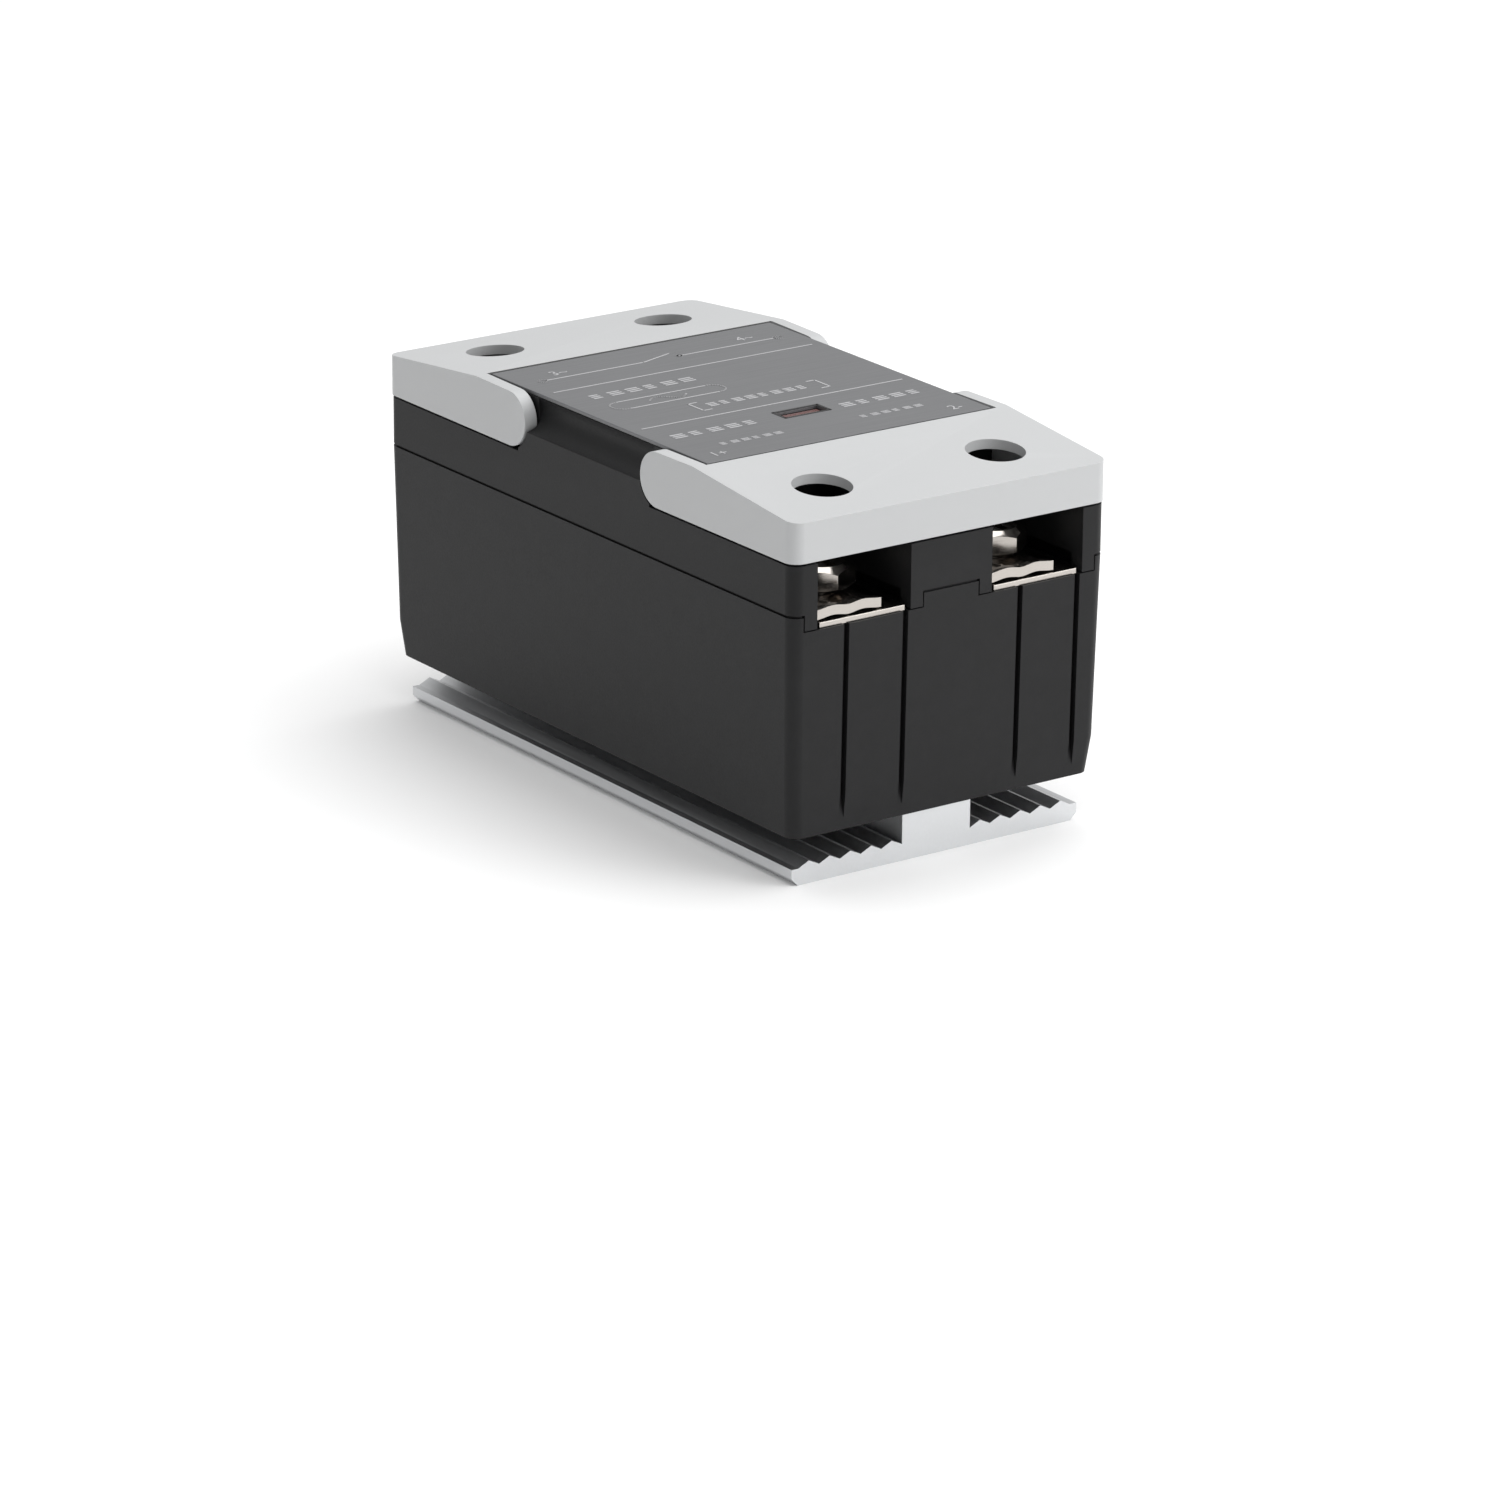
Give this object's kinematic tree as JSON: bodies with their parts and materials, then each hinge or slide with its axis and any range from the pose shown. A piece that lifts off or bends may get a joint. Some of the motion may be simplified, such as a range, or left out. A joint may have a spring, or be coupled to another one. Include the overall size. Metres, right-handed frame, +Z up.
{
  "type": "solid state relay",
  "caption": "Upright box-shaped power relay with a black moulded housing, flip-up grey terminal covers, screw terminals at both ends and a ridged aluminium base.",
  "frame": {"origin": "centre of the aluminium base's underside", "axes": "+Z up, Y along the relay with -Y the control terminals' end, X across it"},
  "size_m": [0.045, 0.0844, 0.0461],
  "materials": {
    "black_housing": "satin glass-filled moulding",
    "grey_cover": "fine satin moulding",
    "aluminium_base": "bare extruded",
    "black_anodised": "black anodised sheet",
    "label_grey": "satin anodised, printed",
    "light_pipe": "clear tinted polycarbonate",
    "nickel_plating": "bright nickel plate",
    "zinc_steel": "clear zinc plate",
    "ceramic_tile": "as fired alumina",
    "board_green": "solder mask",
    "black_epoxy": "moulded epoxy",
    "tinned_pin": "tinned copper wire",
    "red_led": "clear red epoxy",
    "blue_epoxy": "dipped epoxy",
    "yellow_film": "boxed film capacitor case",
    "tan_enamel": "enamelled body"
  },
  "bodies": {
    "housing": {"base_screw_front": "zinc_steel", "base_screw_rear": "zinc_steel", "ceramic_substrate": "ceramic_tile", "closing_plate": "black_anodised", "control_board": "board_green", "driver_transistor": "black_epoxy", "gate_pin_1": "tinned_pin", "gate_pin_2": "tinned_pin", "gate_pin_3": "tinned_pin", "gate_pin_4": "tinned_pin", "heat_sink_base": "aluminium_base", "housing_screw_front_left": "zinc_steel", "housing_screw_front_right": "zinc_steel", "housing_screw_rear_left": "zinc_steel", "housing_screw_rear_right": "zinc_steel", "indicator_led": "red_led", "label_plate": "label_grey", "led_light_pipe": "light_pipe", "lower_housing": "black_housing", "optocoupler": "black_epoxy", "resistor_1": "tan_enamel", "resistor_2": "tan_enamel", "resistor_3": "tan_enamel", "snubber_capacitor": "yellow_film", "terminal_nut_front_left": "zinc_steel", "terminal_nut_front_right": "zinc_steel", "terminal_nut_rear_left": "zinc_steel", "terminal_nut_rear_right": "zinc_steel", "terminal_tab_front_left": "nickel_plating", "terminal_tab_front_right": "nickel_plating", "terminal_tab_rear_left": "nickel_plating", "terminal_tab_rear_right": "nickel_plating", "thyristor_left": "black_epoxy", "thyristor_right": "black_epoxy", "upper_housing": "black_housing", "varistor": "blue_epoxy"},
    "front_cover": {"front_cover": "grey_cover"},
    "rear_cover": {"rear_cover": "grey_cover"},
    "clamp_front_left": {"saddle_clamp_front_left": "nickel_plating"},
    "screw_front_left": {"terminal_screw_front_left": "nickel_plating"},
    "clamp_front_right": {"saddle_clamp_front_right": "nickel_plating"},
    "screw_front_right": {"terminal_screw_front_right": "nickel_plating"},
    "clamp_rear_left": {"saddle_clamp_rear_left": "nickel_plating"},
    "screw_rear_left": {"terminal_screw_rear_left": "nickel_plating"},
    "clamp_rear_right": {"saddle_clamp_rear_right": "nickel_plating"},
    "screw_rear_right": {"terminal_screw_rear_right": "nickel_plating"}
  },
  "joints": [
    {"name": "front_cover_hinge", "type": "hinge", "parent": "housing", "child": "front_cover", "pos_m": [0, -0.0153, 0.0427], "axis": [-1, 0, 0], "range_deg": [0, 100]},
    {"name": "rear_cover_hinge", "type": "hinge", "parent": "housing", "child": "rear_cover", "pos_m": [0, 0.0153, 0.0427], "axis": [1, 0, 0], "range_deg": [0, 100]},
    {"name": "clamp_lift_front_left", "type": "slide", "parent": "housing", "child": "clamp_front_left", "axis": [0, 0, 1], "range_m": [0, 0.0021]},
    {"name": "screw_turn_front_left", "type": "hinge", "parent": "clamp_front_left", "child": "screw_front_left", "pos_m": [-0.01235, -0.0337, 0.03615], "axis": [0, 0, 1], "range_deg": [0, 1080]},
    {"name": "clamp_lift_front_right", "type": "slide", "parent": "housing", "child": "clamp_front_right", "axis": [0, 0, 1], "range_m": [0, 0.0021]},
    {"name": "screw_turn_front_right", "type": "hinge", "parent": "clamp_front_right", "child": "screw_front_right", "pos_m": [0.01235, -0.0337, 0.03615], "axis": [0, 0, 1], "range_deg": [0, 1080]},
    {"name": "clamp_lift_rear_left", "type": "slide", "parent": "housing", "child": "clamp_rear_left", "axis": [0, 0, 1], "range_m": [0, 0.0021]},
    {"name": "screw_turn_rear_left", "type": "hinge", "parent": "clamp_rear_left", "child": "screw_rear_left", "pos_m": [-0.01235, 0.0337, 0.03615], "axis": [0, 0, 1], "range_deg": [0, 1080]},
    {"name": "clamp_lift_rear_right", "type": "slide", "parent": "housing", "child": "clamp_rear_right", "axis": [0, 0, 1], "range_m": [0, 0.0021]},
    {"name": "screw_turn_rear_right", "type": "hinge", "parent": "clamp_rear_right", "child": "screw_rear_right", "pos_m": [0.01235, 0.0337, 0.03615], "axis": [0, 0, 1], "range_deg": [0, 1080]}
  ],
  "couplings": [
    {"joint": "screw_turn_front_left", "follows": "clamp_lift_front_left", "rad_per_m": 8976},
    {"joint": "screw_turn_front_right", "follows": "clamp_lift_front_right", "rad_per_m": 8976},
    {"joint": "screw_turn_rear_left", "follows": "clamp_lift_rear_left", "rad_per_m": 8976},
    {"joint": "screw_turn_rear_right", "follows": "clamp_lift_rear_right", "rad_per_m": 8976}
  ]
}
